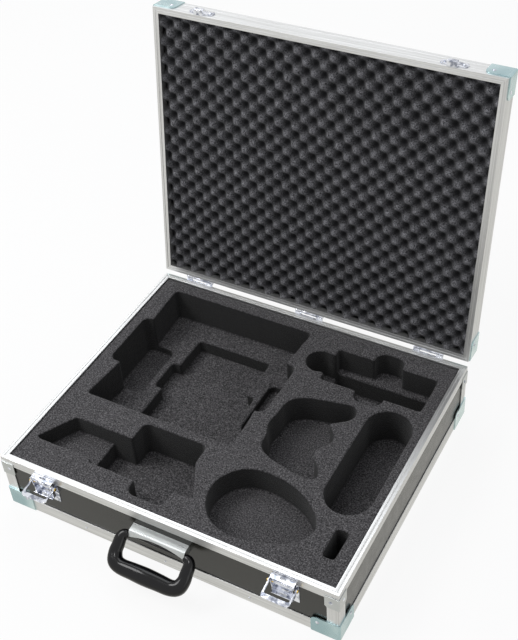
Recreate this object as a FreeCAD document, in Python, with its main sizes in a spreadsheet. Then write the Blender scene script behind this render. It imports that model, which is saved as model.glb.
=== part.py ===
import FreeCAD, Part
import math
import os
import re

import Sketcher
from FreeCAD import Placement, Rotation, Vector

# Microphone case: a shallow aluminium-framed case, its lid open, with a cut foam insert.
# Frame: origin at the middle of the footprint of the whole open case, handle included, on the
# surface it stands on. X to the right, Y to the back, Z up. The pieces are placed about the
# middle of the base first and moved together at the end. Millimetres and degrees.

SIZES = {
    # whole case
    "case_width": 600,
    "case_depth": 508,
    "base_height": 113,
    "lid_height": 38,
    "lid_open_angle": 97,
    "rim_gap": 0.5,
    # sheet, panels and frame profiles
    "wall": 1.5,
    "panel_thickness": 6.8,
    "panel_clearance": 0.3,
    "lid_panel_thickness": 4,
    "lid_flange": 20,
    "rim_face": 16.6,
    "rim_web": 2,
    "rim_inner_leg": 12,
    "groove_place": 4.4,
    "groove_width": 1.2,
    "groove_depth": 0.8,
    "line_width": 0.8,
    "line_depth": 0.5,
    "line_margin": 9,
    "angle_leg": 25,
    "post_leg": 20,
    "post_round": 1.2,
    "overrun": 3,
    # corner caps, braces and rivets
    "cap_sheet": 2,
    "cap_leg": 46,
    "cap_height": 36,
    "cap_round": 3,
    "cap_end_round": 9,
    "cap_floor_round": 20,
    "lid_cap_leg": 38,
    "lid_cap_height": 33,
    "cap_rivet_inset": 11,
    "brace_sheet": 1.2,
    "brace_leg": 23,
    "brace_height": 27,
    "brace_overlap": 6,
    "brace_cut": 4,
    "brace_rivet_inset": 13,
    "rivet_radius": 3.2,
    "rivet_dome": 1.3,
    "seat_gap": 0.05,
    # foam in the base
    "foam_drop": 3,
    "foam_fit": 0.3,
    "foam_floor_thickness": 7,
    "tray_depth": 66,
    "tray_end_depth": 81,
    "tray_centre_depth": 96,
    "wand_depth": 88,
    "wand_shelf_depth": 48,
    "wand_head_depth": 60,
    "thumb_depth": 16,
    "glove_depth": 55,
    "capsule_depth": 70,
    "egg_depth": 48,
    "slit_depth": 60,
    "boat_shallow_depth": 34,
    "boat_deep_depth": 68,
    "wand_head_radius": 25,
    "capsule_radius": 38.5,
    "big_corner": 18,
    "lobe_corner": 12,
    "pocket_corner": 7,
    "small_corner": 3,
    # foam in the lid
    "crate_peak_drop": 2,
    "crate_height": 15,
    "crate_pitch_across": 31.6,
    "crate_pitch_up": 33,
    # hinges
    "hinge_spacing": 228,
    "hinge_width": 54,
    "hinge_out": 4.4,
    "hinge_rise": 4.9,
    "hinge_leaf_height": 15,
    "hinge_leaf_sheet": 1.5,
    "hinge_barrel": 3.5,
    "hinge_knuckle": 12,
    "hinge_knuckle_gap": 0.5,
    "hinge_pin": 1.6,
    "hinge_rivet_spread": 20,
    "pin_clearance": 0.05,
    # handle
    "handle_height": 69,
    "handle_out": 13,
    "handle_rest_angle": 38,
    "handle_width": 142,
    "handle_reach": 65.5,
    "handle_arm_width": 19,
    "handle_arm_thickness": 16,
    "handle_bend": 17,
    "handle_grip_swell": 13,
    "handle_grip_end": 9.9,
    "handle_bar": 5,
    "handle_shoulder": 11,
    "bracket_width": 100,
    "bracket_rise": 11,
    "bracket_drop": 9,
    "bracket_slope": 3,
    "bracket_front": 9,
    "bracket_arch": 7,
    "bracket_foot": 10,
    "bracket_rivet_spread": 36,
    # latches
    "latch_offset": 214,
    "latch_plate_width": 44,
    "latch_plate_drop": 42,
    "latch_plate_sheet": 1.2,
    "latch_body_width": 40,
    "hood_rise": 10,
    "hood_reach": 10.5,
    "hood_sheet": 1.4,
    "hood_corner": 4,
    "hood_standoff": 0.3,
    "hood_lap": 2,
    "slot_length": 12,
    "slot_width": 3.2,
    "ear_radius": 3.8,
    "ear_sheet": 1.5,
    "main_pin_out": 8,
    "main_pin_rise": 3,
    "main_pin_radius": 2,
    "lever_sheet": 1.5,
    "lever_side_gap": 0.3,
    "lever_back": 2.6,
    "lever_drop": 25,
    "lever_lip": 12,
    "lever_brow": 4,
    "lever_toe": 8.5,
    "lever_toe_rise": 10,
    "bail_pin_out": 7,
    "bail_pin_drop": 2.4,
    "bail_pin_radius": 1.6,
    "bail_pin_head": 2.6,
    "bail_pin_head_length": 1.4,
    "bail_reach": 29.6,
    "bail_band": 8,
    "bail_arm": 3,
    "bail_thickness": 2,
    "bail_eye": 3.4,
    "bail_corner": 7,
    "bail_inner_corner": 3,
    "bail_side_gap": 0.5,
    "bail_droop": 8,
    "latch_rivet_spread": 13,
    "latch_rivet_radius": 2.4,
    "latch_rivet_dome": 1,
    # keepers on the lid
    "keeper_width": 44,
    "keeper_low": 6,
    "keeper_high": 22,
    "keeper_sheet": 1.2,
    "keeper_ear_round": 6,
    "keeper_hook_width": 16,
    "keeper_hook_out": 9.8,
    "keeper_hook_rise": 8,
    "keeper_screw_inset": 7,
}

doc = FreeCAD.newDocument("microphone_case")
sheet = doc.addObject("Spreadsheet::Sheet", "Sizes")
for row, (name, number) in enumerate(SIZES.items(), start=1):
    sheet.set(f"A{row}", name.replace("_", " "))
    sheet.set(f"B{row}", str(number))
    sheet.setAlias(f"B{row}", name)
doc.recompute()

# Sums of named sizes that several pieces share.
PANEL_FACE = "(wall + panel_clearance)"
PANEL_BACK = "(wall + panel_clearance + panel_thickness)"
RIM_WIDTH = "(2 * wall + panel_thickness + 2 * panel_clearance)"
RIM_FOOT = "(base_height - rim_face)"
FOAM_WIDTH = f"(case_width - 2 * {RIM_WIDTH} - 2 * foam_fit)"
FOAM_DEPTH = f"(case_depth - 2 * {RIM_WIDTH} - 2 * foam_fit)"
PANEL_FLOOR = "(cap_sheet + wall + panel_clearance)"
LID_PANEL_FACE = "(lid_height - wall - panel_clearance)"
LATCH_HALF = "(latch_body_width / 2)"
MAIN_PIN_HEIGHT = f"({RIM_FOOT} + main_pin_rise)"
BAIL_PIN_HEIGHT = f"({RIM_FOOT} - bail_pin_drop)"
EAR_INNER = f"({LATCH_HALF} - ear_sheet)"
LEVER_HALF = f"({EAR_INNER} - lever_side_gap)"
BAIL_INNER = f"({LATCH_HALF} + bail_side_gap)"

nodes = []


def linked(text):
    """Point each of the sheet's names in an expression at the sheet."""
    return re.sub(r"[a-z][a-z_]*", lambda word: "Sizes." + word.group(), text)


def size(text):
    """The value of an expression in the sheet's names."""
    return float(sheet.evalExpression(text))


def bind(thing, field, text):
    """Tie one property of an object to an expression in the sheet's names."""
    thing.setExpression(field, linked(text))


def new_body(label, placed=None):
    """An empty PartDesign body that will be the node of this name."""
    made = doc.addObject("PartDesign::Body", label)
    made.Label = label
    made.Placement = placed or Placement()
    nodes.append(made)
    return made


def solid_node(label, shape, placed=None):
    """A node whose shape is built directly, for forms that no sketch feature suits."""
    made = doc.addObject("Part::Feature", label)
    made.Label = label
    made.Shape = shape
    made.Placement = placed or Placement()
    nodes.append(made)
    return made


def new_sketch(body, role, lift="0"):
    """A sketch on one of the body's own origin planes, lifted along the plane's normal."""
    drawn = body.newObject("Sketcher::SketchObject", "sketch")
    plane = [feature for feature in body.Origin.OriginFeatures if feature.Role == role][0]
    drawn.AttachmentSupport = [(plane, "")]
    drawn.MapMode = "FlatFace"
    bind(drawn, "AttachmentOffset.Base.z", lift)
    return drawn


def pin_point(drawn, curve, end, across, up):
    """Hold one point of a curve at a place given by two expressions."""
    for kind, text in (("DistanceX", across), ("DistanceY", up)):
        row = drawn.addConstraint(Sketcher.Constraint(kind, -1, 1, curve, end, size(text)))
        bind(drawn, f"Constraints[{row}]", text)


def draw_outline(drawn, corners):
    """A closed run of straight lines, every corner held by expressions."""
    points = [Vector(size(across), size(up), 0) for across, up in corners]
    first = drawn.GeometryCount
    count = len(points)
    for index in range(count):
        drawn.addGeometry(Part.LineSegment(points[index], points[(index + 1) % count]))
    for index in range(count):
        following = first + (index + 1) % count
        drawn.addConstraint(Sketcher.Constraint("Coincident", first + index, 2, following, 1))
        pin_point(drawn, first + index, 1, *corners[index])


def draw_box(drawn, left, low, right, high):
    """A rectangle between two corners."""
    draw_outline(drawn, [(left, low), (right, low), (right, high), (left, high)])


def draw_circle(drawn, across, up, radius):
    """A circle whose centre and radius are held by expressions."""
    centre = Vector(size(across), size(up), 0)
    curve = drawn.addGeometry(Part.Circle(centre, Vector(0, 0, 1), size(radius)))
    pin_point(drawn, curve, 3, across, up)
    row = drawn.addConstraint(Sketcher.Constraint("Radius", curve, size(radius)))
    bind(drawn, f"Constraints[{row}]", radius)


def draw_stadium(drawn, across, up, length, width):
    """A slot with round ends, along the sketch's first axis."""
    reach = f"({length} - {width}) / 2"
    radius = f"{width} / 2"
    right = Vector(size(f"{across} + {reach}"), size(up), 0)
    left = Vector(size(f"{across} - {reach}"), size(up), 0)
    rise = Vector(0, size(radius), 0)
    axis = Vector(0, 0, 1)
    quarter = math.pi / 2
    first = drawn.addGeometry(Part.ArcOfCircle(Part.Circle(right, axis, size(radius)), -quarter, quarter))
    drawn.addGeometry(Part.LineSegment(right + rise, left + rise))
    drawn.addGeometry(Part.ArcOfCircle(Part.Circle(left, axis, size(radius)), quarter, 3 * quarter))
    drawn.addGeometry(Part.LineSegment(left - rise, right - rise))
    pin_point(drawn, first, 3, f"{across} + {reach}", up)
    pin_point(drawn, first + 2, 3, f"{across} - {reach}", up)
    for here, there in ((0, 1), (1, 2), (2, 3), (3, 0)):
        drawn.addConstraint(Sketcher.Constraint("Tangent", first + here, 2, first + there, 1))
    row = drawn.addConstraint(Sketcher.Constraint("Radius", first, size(radius)))
    bind(drawn, f"Constraints[{row}]", radius)


def pad(body, drawn, length, both=False):
    """Raise a sketch by a length, to both sides of its plane when asked."""
    made = body.newObject("PartDesign::Pad", "pad")
    made.Profile = drawn
    made.Midplane = both
    bind(made, "Length", length)
    drawn.Visibility = False
    return made


def cut(body, drawn, length=None, onward=False):
    """Pocket a sketch right through, or by a length along its normal when onward."""
    made = body.newObject("PartDesign::Pocket", "pocket")
    made.Profile = drawn
    if length is None:
        made.Type = "ThroughAll"
        made.Midplane = not onward
    else:
        bind(made, "Length", length)
    made.Reversed = onward
    before = body.BaseFeature or made.BaseFeature
    doc.recompute()
    if before and made.Shape.Volume >= before.Shape.Volume:
        raise ValueError(f"a pocket in {body.Label} cuts nothing")
    return made


def edge_names(shape, wanted):
    """Names of the edges whose two ends both satisfy a test."""
    names = []
    for index, edge in enumerate(shape.Edges, start=1):
        ends = [vertex.Point for vertex in edge.Vertexes]
        if len(ends) == 2 and wanted(*ends):
            names.append(f"Edge{index}")
    return names


def round_edges(body, wanted, radius):
    """Fillet the tip's edges that satisfy a test."""
    doc.recompute()
    base = body.Tip
    names = edge_names(base.Shape, wanted)
    if not names:
        raise ValueError(f"no edge to round in {body.Label}")
    made = body.newObject("PartDesign::Fillet", "fillet")
    made.Base = (base, names)
    bind(made, "Radius", radius)
    return made


NEAR_SHARE = 1e-6
QUARTER_TURN = 90
HALF_TURN = 180
FULL_TURN = 360


def near(value, text):
    """Whether a coordinate lies at the value of an expression."""
    return abs(value - size(text)) < NEAR_SHARE * size("case_width")


def lying_at(**places):
    """A test for edges that keep to these coordinates, on either side of zero."""
    def test(start, end):
        for name, place in places.items():
            one, other = getattr(start, name), getattr(end, name)
            if not near(one - other, "0") or not near(abs(one), place):
                return False
        return True

    return test

# Where the four sides and four corners stand, seen from above: each is the front one turned.
SIDE_TURNS = {
    "front": 0,
    "right": QUARTER_TURN,
    "back": HALF_TURN,
    "left": HALF_TURN + QUARTER_TURN,
}
CORNER_TURNS = {
    "front_left": 0,
    "front_right": QUARTER_TURN,
    "back_right": HALF_TURN,
    "back_left": HALF_TURN + QUARTER_TURN,
}


def side_place(side, lift="0"):
    """The frame of one side: x along it, y inwards from its outer face."""
    turn = Rotation(Vector(0, 0, 1), SIDE_TURNS[side])
    outward = size("case_depth / 2" if side in ("front", "back") else "case_width / 2")
    return Placement(turn.multVec(Vector(0, -outward, 0)) + Vector(0, 0, size(lift)), turn)


def corner_place(corner, lift="0"):
    """The frame of one upright corner: x and y inwards along the two sides."""
    across = size("case_width / 2") * (1 if "right" in corner else -1)
    deep = size("case_depth / 2") * (1 if "back" in corner else -1)
    turn = Rotation(Vector(0, 0, 1), CORNER_TURNS[corner])
    return Placement(Vector(across, deep, size(lift)), turn)


def side_length(side):
    """Overall length of the case along one side."""
    return "case_width" if side in ("front", "back") else "case_depth"


# The lid's own frame is the closed lid with its rim plane at height zero. It stands open,
# turned back about the hinge pins.
HINGE_AXIS = Vector(0, size("case_depth / 2 + hinge_out"), size("base_height + hinge_rise"))
LID_CLOSED = Placement(Vector(0, 0, size("base_height + rim_gap")), Rotation())
LID_TURN = Rotation(Vector(1, 0, 0), -size("lid_open_angle"))
LID_FRAME = Placement(Vector(), LID_TURN, HINGE_AXIS).multiply(LID_CLOSED)


def mitred_run(label, side, corners, reach, frame=None):
    """A profile run along one side, its ends cut at 45 degrees to meet the next sides."""
    body = new_body(label, (frame or Placement()).multiply(side_place(side)))
    profile = new_sketch(body, "YZ_Plane")
    draw_outline(profile, corners)
    pad(body, profile, side_length(side), both=True)
    mitre = new_sketch(body, "XY_Plane")
    half = f"{side_length(side)} / 2"
    for sign in ("", "-"):
        draw_outline(mitre, [
            (f"{sign}({half} + overrun)", "-overrun"),
            (f"{sign}({half} + overrun)", f"{reach} + overrun"),
            (f"{sign}({half} - {reach} - overrun)", f"{reach} + overrun"),
        ])
    cut(body, mitre)
    return body


def panel(label, side, inset):
    """A side panel behind the frame profiles, its ends set in from the case's own."""
    body = new_body(label, side_place(side))
    profile = new_sketch(body, "YZ_Plane")
    top = "base_height - rim_web - panel_clearance"
    draw_box(profile, PANEL_FACE, PANEL_FLOOR, PANEL_BACK, top)
    pad(body, profile, f"{side_length(side)} - 2 * {inset}", both=True)


def make_base_panels():
    """Four upright panels and the bottom between them."""
    panel("front_panel", "front", PANEL_FACE)
    panel("back_panel", "back", PANEL_FACE)
    panel("left_panel", "left", PANEL_BACK)
    panel("right_panel", "right", PANEL_BACK)
    body = new_body("bottom_panel")
    plan = new_sketch(body, "XY_Plane", PANEL_FLOOR)
    across = f"case_width / 2 - {PANEL_BACK}"
    deep = f"case_depth / 2 - {PANEL_BACK}"
    draw_box(plan, f"-({across})", f"-({deep})", across, deep)
    pad(body, plan, "panel_thickness")


def make_base_frame():
    """Bottom angles, upright corner posts and the grooved rim, mitred at the corners."""
    angle = [
        ("0", "cap_sheet"), ("angle_leg", "cap_sheet"), ("angle_leg", "cap_sheet + wall"),
        ("wall", "cap_sheet + wall"), ("wall", "cap_sheet + angle_leg"), ("0", "cap_sheet + angle_leg"),
    ]
    rim = [
        ("0", RIM_FOOT), ("wall", RIM_FOOT), ("wall", "base_height - rim_web"),
        (f"{RIM_WIDTH} - wall", "base_height - rim_web"),
        (f"{RIM_WIDTH} - wall", "base_height - rim_inner_leg"),
        (RIM_WIDTH, "base_height - rim_inner_leg"), (RIM_WIDTH, "base_height"),
        ("groove_place + groove_width", "base_height"),
        ("groove_place + groove_width", "base_height - groove_depth"),
        ("groove_place", "base_height - groove_depth"), ("groove_place", "base_height"),
        ("0", "base_height"),
    ]
    for side in SIDE_TURNS:
        mitred_run(f"{side}_bottom_angle", side, angle, "angle_leg")
        mitred_run(f"base_{side}_rim", side, rim, RIM_WIDTH)
    for corner in CORNER_TURNS:
        body = new_body(f"{corner}_post", corner_place(corner))
        plan = new_sketch(body, "XY_Plane", "cap_sheet + angle_leg")
        draw_outline(plan, [
            ("0", "0"), ("post_leg", "0"), ("post_leg", "wall"),
            ("wall", "wall"), ("wall", "post_leg"), ("0", "post_leg"),
        ])
        pad(body, plan, f"{RIM_FOOT} - cap_sheet - angle_leg")
        round_edges(body, lying_at(x="0", y="0"), "post_round")


def corner_cap(label, placed, leg, height):
    """A pressed cap over an outer corner: two upright legs and a floor, rounded outside."""
    body = new_body(label, placed)
    plan = new_sketch(body, "XY_Plane", "-cap_sheet")
    draw_box(plan, "-cap_sheet", "-cap_sheet", leg, leg)
    pad(body, plan, f"{height} + cap_sheet")

    def outer(start, end):
        shared = [near(getattr(start, name), "-cap_sheet") and near(getattr(end, name), "-cap_sheet")
                  for name in "xyz"]
        return sum(shared) == 2

    round_edges(body, outer, "cap_round")
    inside = new_sketch(body, "XY_Plane")
    draw_box(inside, "0", "0", f"{leg} + overrun", f"{leg} + overrun")
    cut(body, inside, onward=True)

    round_edges(body, lying_at(x=leg, z=height), "cap_end_round")
    round_edges(body, lying_at(y=leg, z=height), "cap_end_round")
    round_edges(body, lying_at(x=leg, y=leg), "cap_floor_round")


# Turns a cap upside down for the lid's outer corners, and swaps its two equal legs.
CAP_OVER = Rotation(Vector(1, 1, 0), HALF_TURN)


def make_corner_caps():
    """Caps on the four lower corners of the base and the four outer corners of the lid."""
    for corner in CORNER_TURNS:
        corner_cap(f"base_cap_{corner}", corner_place(corner, "cap_sheet"), "cap_leg", "cap_height")
        over = LID_FRAME.multiply(corner_place(corner, "lid_height"))
        over = over.multiply(Placement(Vector(), CAP_OVER))
        corner_cap(f"lid_cap_{corner}", over, "lid_cap_leg", "lid_cap_height")


def make_rim_braces():
    """Bent plates riveted across each upper corner, from the post on to the rim."""
    sheet_out = size("brace_sheet")
    leg = size("brace_leg")
    tall = size("brace_height")
    trim = size("brace_cut")
    low = size(f"{RIM_FOOT} + brace_overlap - brace_height")
    outer = Part.makeBox(leg + sheet_out, leg + sheet_out, tall, Vector(-sheet_out, -sheet_out, low))
    bend = [edge for edge in outer.Edges if all(
        abs(vertex.X + sheet_out) < sheet_out / 2 and abs(vertex.Y + sheet_out) < sheet_out / 2
        for vertex in edge.Vertexes)]
    outer = outer.makeFillet(size("post_round"), bend)
    brace = outer.cut(Part.makeBox(leg, leg, tall, Vector(0, 0, low)))
    ends = [edge for edge in brace.Edges if edge.Length < 2 * sheet_out
            and abs(edge.CenterOfMass.z - low) < sheet_out / 2
            and max(edge.CenterOfMass.x, edge.CenterOfMass.y) > leg - sheet_out / 2]
    brace = brace.makeChamfer(trim, ends)
    copies = []
    for corner in CORNER_TURNS:
        turned = brace.copy()
        turned.Placement = corner_place(corner)
        copies.append(turned)
    solid_node("rim_braces", Part.makeCompound(copies))


def rivet(point, outward, radius="rivet_radius", dome="rivet_dome"):
    """A domed rivet head standing on a face."""
    head = size(radius)
    tall = size(dome)
    ball = (head * head + tall * tall) / (2 * tall)
    rim_angle = math.degrees(math.asin((ball - tall) / ball))
    start = point + outward * size("seat_gap") - outward * (ball - tall)
    return Part.makeSphere(ball, start, outward, rim_angle, QUARTER_TURN, FULL_TURN)


def make_base_rivets():
    """Rivets through the corner caps' legs, the braces and the latch plates."""
    heads = []
    for corner in CORNER_TURNS:
        frame = corner_place(corner)
        turn = frame.Rotation
        out = size("cap_sheet")
        low = size("cap_height + cap_sheet - cap_rivet_inset")
        far = size("cap_leg - cap_rivet_inset")
        spots = [(far, -out, low, Vector(0, -1, 0)), (-out, far, low, Vector(-1, 0, 0))]
        out = size("brace_sheet")
        high = size(f"{RIM_FOOT} + brace_overlap - brace_rivet_inset")
        side = size("brace_rivet_inset")
        spots += [(side, -out, high, Vector(0, -1, 0)), (-out, side, high, Vector(-1, 0, 0))]
        for across, deep, up, outward in spots:
            heads.append(rivet(frame.multVec(Vector(across, deep, up)), turn.multVec(outward)))
    face = size(f"-case_depth / 2 + {PANEL_FACE} - latch_plate_sheet")
    spread = size("latch_rivet_spread")
    rivet_height = size(f"{RIM_FOOT} - latch_plate_drop + latch_rivet_spread / 2")
    for centre in (-size("latch_offset"), size("latch_offset")):
        for across in (-spread, spread):
            spot = Vector(centre + across, face, rivet_height)
            heads.append(rivet(spot, Vector(0, -1, 0), "latch_rivet_radius", "latch_rivet_dome"))
    solid_node("base_rivets", Part.makeCompound(heads))


# Outlines of the pockets, as shares of the foam's width and depth from its front left corner.
TRAY_SHARES = [
    (0.055, 0.952, "pocket_corner"), (0.539, 0.952, "pocket_corner"), (0.528, 0.774, None),
    (0.563, 0.772, "lobe_corner"), (0.563, 0.529, "lobe_corner"), (0.535, 0.529, None),
    (0.541, 0.353, "pocket_corner"), (0.056, 0.353, "small_corner"), (0.072, 0.531, None),
    (0.033, 0.533, "lobe_corner"), (0.033, 0.774, "lobe_corner"), (0.061, 0.774, None),
]
TRAY_LEFT_END_SHARES = [(0.033, 0.533), (0.125, 0.774)]
TRAY_RIGHT_END_SHARES = [(0.474, 0.529), (0.563, 0.772)]
TRAY_CENTRE_SHARES = [
    (0.175, 0.866, "small_corner"), (0.426, 0.866, "small_corner"), (0.426, 0.689, None),
    (0.453, 0.689, None), (0.453, 0.353, "small_corner"), (0.175, 0.353, "small_corner"),
    (0.175, 0.591, None), (0.148, 0.591, "small_corner"), (0.148, 0.720, "small_corner"),
    (0.175, 0.720, None),
]
WAND_HEAD_SHARE = (0.617, 0.837)
WAND_SHARES = [(0.648, 0.758), (0.962, 0.895)]
WAND_SHELF_SHARES = [(0.648, 0.890), (0.962, 0.918)]
WAND_NECK_SHARES = [(0.630, 0.790), (0.655, 0.885)]
WAND_BUMP_SHARES = [(0.761, 0.862), (0.850, 0.966)]
WAND_THUMB_SHARES = [(0.761, 0.713), (0.849, 0.820)]
GLOVE_SHARES = [
    (0.607, 0.615), (0.624, 0.640), (0.673, 0.663), (0.742, 0.679), (0.794, 0.677), (0.802, 0.646),
    (0.773, 0.601), (0.752, 0.576), (0.775, 0.548), (0.778, 0.492), (0.759, 0.455), (0.765, 0.425),
    (0.797, 0.379), (0.800, 0.348), (0.759, 0.338), (0.707, 0.348), (0.647, 0.369), (0.614, 0.402),
    (0.609, 0.447), (0.596, 0.492), (0.600, 0.550),
]
CAPSULE_SHARES = [(0.839, 0.255), (0.973, 0.720)]
EGG_SHARES = [
    (0.564, 0.174), (0.586, 0.252), (0.629, 0.292), (0.681, 0.302), (0.768, 0.285), (0.845, 0.229),
    (0.875, 0.168), (0.854, 0.106), (0.794, 0.063), (0.733, 0.042), (0.673, 0.037), (0.604, 0.071),
]
SLIT_SHARES = [(0.926, 0.089), (0.960, 0.199)]
BOAT_HULL_SHARES = [
    (0.024, 0.107, "small_corner"), (0.086, 0.237, "small_corner"), (0.482, 0.237, None),
    (0.540, 0.107, "small_corner"),
]
BOAT_DEEP_SHARES = [
    (0.206, 0.107, None), (0.206, 0.237, None), (0.482, 0.237, None), (0.540, 0.107, "small_corner"),
]
BOAT_CABIN_SHARES = [(0.277, 0.200), (0.482, 0.317)]
BOAT_KEEL_SHARES = [(0.365, 0.037), (0.481, 0.150)]
BOAT_STEP_SHARES = [(0.212, 0.091), (0.400, 0.150)]


def foam_point(share):
    """A place on the foam's face from its shares of the foam's width and depth."""
    across = (share[0] - 0.5) * size(FOAM_WIDTH)
    deep = (share[1] - 0.5) * size(FOAM_DEPTH)
    return Vector(across, deep, 0)


def rounded_wire(points, radii):
    """Straight runs through the points, each corner eased by its own tangent arc."""
    edges = []
    count = len(points)
    starts = []
    for index in range(count):
        here = points[index]
        back = (points[index - 1] - here).normalize()
        ahead = (points[(index + 1) % count] - here).normalize()
        half = back.getAngle(ahead) / 2
        radius = radii[index]
        run = radius / math.tan(half)
        enter = here + back * run
        leave = here + ahead * run
        if radius > 0:
            middle = here + (back + ahead).normalize() * (radius / math.sin(half) - radius)
            starts.append((enter, middle, leave))
        else:
            starts.append((here, None, here))
    for index in range(count):
        enter, middle, leave = starts[index]
        if middle is not None:
            edges.append(Part.Arc(enter, middle, leave).toShape())
        following = starts[(index + 1) % count][0]
        edges.append(Part.LineSegment(leave, following).toShape())
    return Part.Wire(edges)


def prism(wire, depth, top):
    """A cutter of this outline, from above the foam's face down to a depth."""
    over = size("overrun")
    wire.translate(Vector(0, 0, top - depth))
    return Part.Face(wire).extrude(Vector(0, 0, depth + over))


def outline_cutter(shares, depth, top):
    """A cutter whose outline has straight runs and rounded corners."""
    points = [foam_point(share) for share in shares]
    radii = [size(share[2]) if share[2] else 0 for share in shares]
    return prism(rounded_wire(points, radii), size(depth), top)


def box_cutter(shares, depth, top, corner="small_corner"):
    """A cutter with a rectangular outline and rounded corners."""
    low = foam_point(shares[0])
    high = foam_point(shares[1])
    points = [low, Vector(high.x, low.y, 0), high, Vector(low.x, high.y, 0)]
    return prism(rounded_wire(points, [size(corner)] * 4), size(depth), top)


def curve_cutter(shares, depth, top):
    """A cutter whose outline is one smooth closed curve."""
    curve = Part.BSplineCurve()
    curve.interpolate([foam_point(share) for share in shares], PeriodicFlag=True)
    return prism(Part.Wire([curve.toShape()]), size(depth), top)


def make_base_foam():
    """A floor pad, and over it the block with a pocket for each thing that the case holds."""
    floor = size(f"{PANEL_FLOOR} + panel_thickness")
    pad_top = floor + size("foam_floor_thickness")
    top = size("base_height - foam_drop")
    width = size(FOAM_WIDTH)
    deep = size(FOAM_DEPTH)
    low = Vector(-width / 2, -deep / 2, floor)
    pad_block = Part.makeBox(width, deep, pad_top - floor, low)
    solid_node("foam_floor_pad", pad_block)
    block = Part.makeBox(width, deep, top - pad_top, Vector(low.x, low.y, pad_top))
    head = Part.Circle(foam_point(WAND_HEAD_SHARE), Vector(0, 0, 1), size("wand_head_radius"))
    cutters = [
        outline_cutter(TRAY_SHARES, "tray_depth", top),
        box_cutter(TRAY_LEFT_END_SHARES, "tray_end_depth", top, "lobe_corner"),
        box_cutter(TRAY_RIGHT_END_SHARES, "tray_end_depth", top, "lobe_corner"),
        outline_cutter(TRAY_CENTRE_SHARES, "tray_centre_depth", top),
        prism(Part.Wire([head.toShape()]), size("wand_head_depth"), top),
        box_cutter(WAND_NECK_SHARES, "wand_head_depth", top),
        box_cutter(WAND_SHARES, "wand_depth", top),
        box_cutter(WAND_SHELF_SHARES, "wand_shelf_depth", top),
        box_cutter(WAND_BUMP_SHARES, "wand_shelf_depth", top, "big_corner"),
        box_cutter(WAND_THUMB_SHARES, "thumb_depth", top, "big_corner"),
        curve_cutter(GLOVE_SHARES, "glove_depth", top),
        box_cutter(CAPSULE_SHARES, "capsule_depth", top, "capsule_radius"),
        curve_cutter(EGG_SHARES, "egg_depth", top),
        box_cutter(SLIT_SHARES, "slit_depth", top),
        outline_cutter(BOAT_HULL_SHARES, "boat_shallow_depth", top),
        outline_cutter(BOAT_DEEP_SHARES, "boat_deep_depth", top),
        box_cutter(BOAT_CABIN_SHARES, "boat_deep_depth", top, "lobe_corner"),
        box_cutter(BOAT_KEEL_SHARES, "boat_deep_depth", top, "lobe_corner"),
        box_cutter(BOAT_STEP_SHARES, "boat_deep_depth", top),
    ]
    solid_node("foam_insert", block.cut(cutters))


def make_lid_shell():
    """The lid's panel and the four deep profiles round it, with the grooved rim."""
    profile = [
        ("0", "0"), ("groove_place", "0"), ("groove_place", "groove_depth"),
        ("groove_place + groove_width", "groove_depth"), ("groove_place + groove_width", "0"),
        (RIM_WIDTH, "0"), (RIM_WIDTH, "rim_inner_leg"), (f"{RIM_WIDTH} - wall", "rim_inner_leg"),
        (f"{RIM_WIDTH} - wall", "rim_web"), ("wall", "rim_web"), ("wall", "lid_height - wall"),
        ("lid_flange", "lid_height - wall"), ("lid_flange", "lid_height"), ("0", "lid_height"),
        ("0", "lid_height - line_margin"), ("line_depth", "lid_height - line_margin"),
        ("line_depth", "lid_height - line_margin - line_width"),
        ("0", "lid_height - line_margin - line_width"), ("0", "line_margin + line_width"),
        ("line_depth", "line_margin + line_width"), ("line_depth", "line_margin"), ("0", "line_margin"),
    ]
    for side in SIDE_TURNS:
        mitred_run(f"lid_{side}_rail", side, profile, "lid_flange", LID_FRAME)
    body = new_body("lid_panel", LID_FRAME)
    plan = new_sketch(body, "XY_Plane", f"{LID_PANEL_FACE} - lid_panel_thickness")
    across = f"case_width / 2 - {PANEL_FACE}"
    deep = f"case_depth / 2 - {PANEL_FACE}"
    draw_box(plan, f"-({across})", f"-({deep})", across, deep)
    pad(body, plan, "lid_panel_thickness")


def make_lid_foam():
    """Convoluted foam: rows of blunt peaks, each row shifted by half a pitch from the next."""
    width = size(FOAM_WIDTH)
    deep = size(FOAM_DEPTH)
    columns = round(2 * width / size("crate_pitch_across"))
    rows = round(2 * deep / size("crate_pitch_up"))
    peak = size("crate_peak_drop")
    valley = peak + size("crate_height")
    back = size(f"{LID_PANEL_FACE} - lid_panel_thickness")

    def place(column, row, height):
        return Vector((column / columns - 0.5) * width, (row / rows - 0.5) * deep, height)

    def height(column, row):
        return peak if (column + row) % 2 else valley

    def triangle(*points):
        return Part.Face(Part.makePolygon(points + points[:1]))

    faces = []
    for column in range(columns):
        for row in range(rows):
            ring = [(column, row), (column + 1, row), (column + 1, row + 1), (column, row + 1)]
            ring = [place(c, r, height(c, r)) for c, r in ring]
            middle = place(column + 0.5, row + 0.5, (peak + valley) / 2)
            for index in range(4):
                faces.append(triangle(ring[index], ring[(index + 1) % 4], middle))
    for row in (0, rows):
        edge = [place(column, row, height(column, row)) for column in range(columns + 1)]
        corners = [place(columns, row, back), place(0, row, back)]
        faces.append(triangle(*edge, *corners))
    for column in (0, columns):
        edge = [place(column, row, height(column, row)) for row in range(rows + 1)]
        corners = [place(column, rows, back), place(column, 0, back)]
        faces.append(triangle(*edge, *corners))
    faces.append(triangle(*[place(c, r, back) for c, r in
                            ((0, 0), (columns, 0), (columns, rows), (0, rows))]))
    shell = Part.Shell(faces)
    shell.sewShape()
    foam = Part.makeSolid(shell)
    if foam.Volume < 0:
        foam.reverse()
    solid_node("lid_foam", foam, LID_FRAME)


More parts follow.
